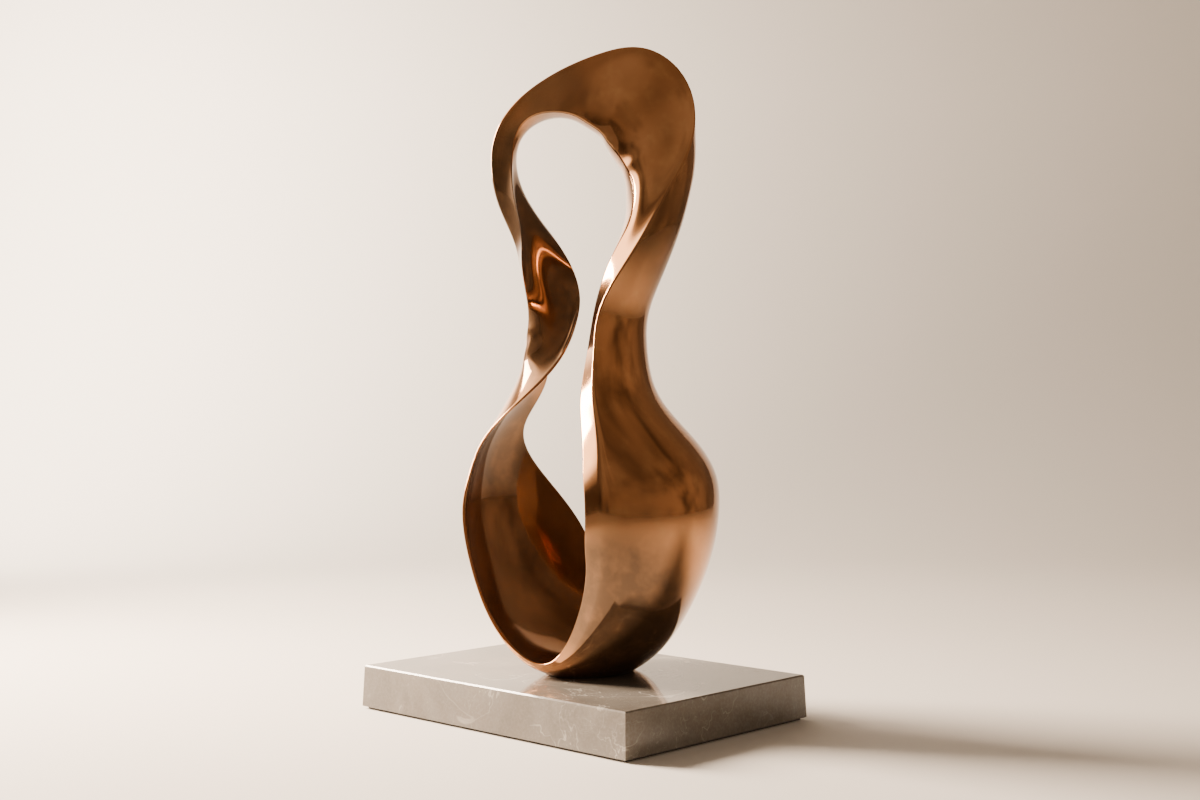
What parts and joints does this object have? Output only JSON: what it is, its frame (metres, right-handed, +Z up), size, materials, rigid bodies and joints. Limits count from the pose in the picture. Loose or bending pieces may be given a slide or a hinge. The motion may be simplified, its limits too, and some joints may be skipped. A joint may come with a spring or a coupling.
{
  "type": "abstract metal sculpture",
  "caption": "Polished bronze band, looped and twisted on itself with an open head and a wide bowl below, on a low rectangular marble plinth.",
  "frame": {"origin": "middle of the underside, on the surface that the sculpture stands on", "axes": "+Z up, +X along the plinth's long side, -Y towards the side from which the upper ring leans left"},
  "size_m": [0.329, 0.239, 0.6034],
  "materials": {
    "polished_bronze": "mirror polished bronze with a clear wax, brown copper tone",
    "polished_marble": "polished beige-grey marble with fine pale veins",
    "dark_felt": "thin dark felt glued under the stone"
  },
  "bodies": {
    "root": {"bronze_band": "polished_bronze", "stone_plinth": "polished_marble", "felt_pad": "dark_felt"}
  },
  "joints": []
}
